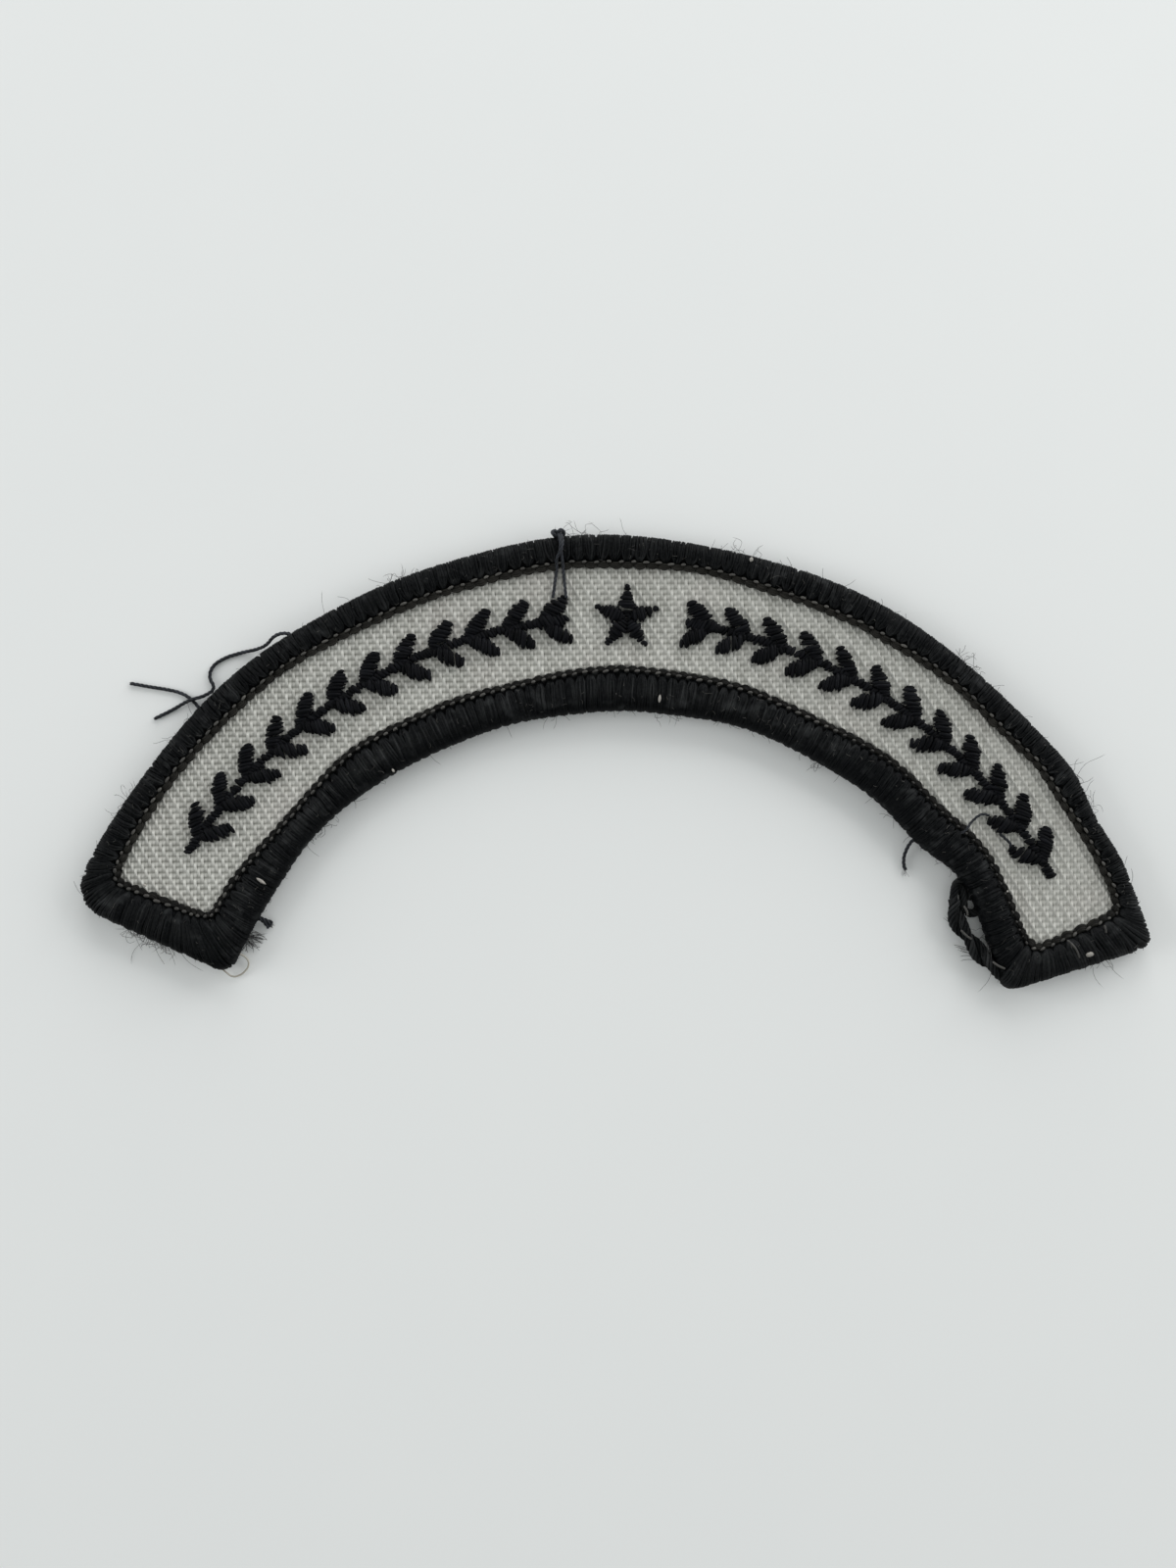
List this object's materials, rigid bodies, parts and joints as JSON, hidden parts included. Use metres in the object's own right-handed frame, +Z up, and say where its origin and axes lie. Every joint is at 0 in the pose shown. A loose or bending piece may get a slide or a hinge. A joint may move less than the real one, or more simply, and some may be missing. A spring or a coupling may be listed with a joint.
{
  "type": "embroidered arc tab patch",
  "caption": "Flat arc-shaped cloth tab of grey twill with a thick black overlocked border, a satin-stitched star between laurel branches, and a short loose loop of border yarn at one corner.",
  "frame": {"origin": "middle of the patch's underside, on the surface it lies on", "axes": "+X along the chord of the arc towards the end with the loose yarn loop, +Y towards the crown, +Z up out of the embroidered face"},
  "size_m": [0.1018, 0.0424, 0.0023],
  "materials": {
    "twill": "matte woven grey twill",
    "border_yarn": "black yarn with a low satin sheen",
    "motif_thread": "black satin-stitched rayon thread"
  },
  "bodies": {
    "root": {"twill_ground": "twill", "merrowed_border": "border_yarn", "edge_tail": "border_yarn", "star_motif": "motif_thread", "laurel_left": "motif_thread", "laurel_right": "motif_thread"}
  },
  "joints": []
}
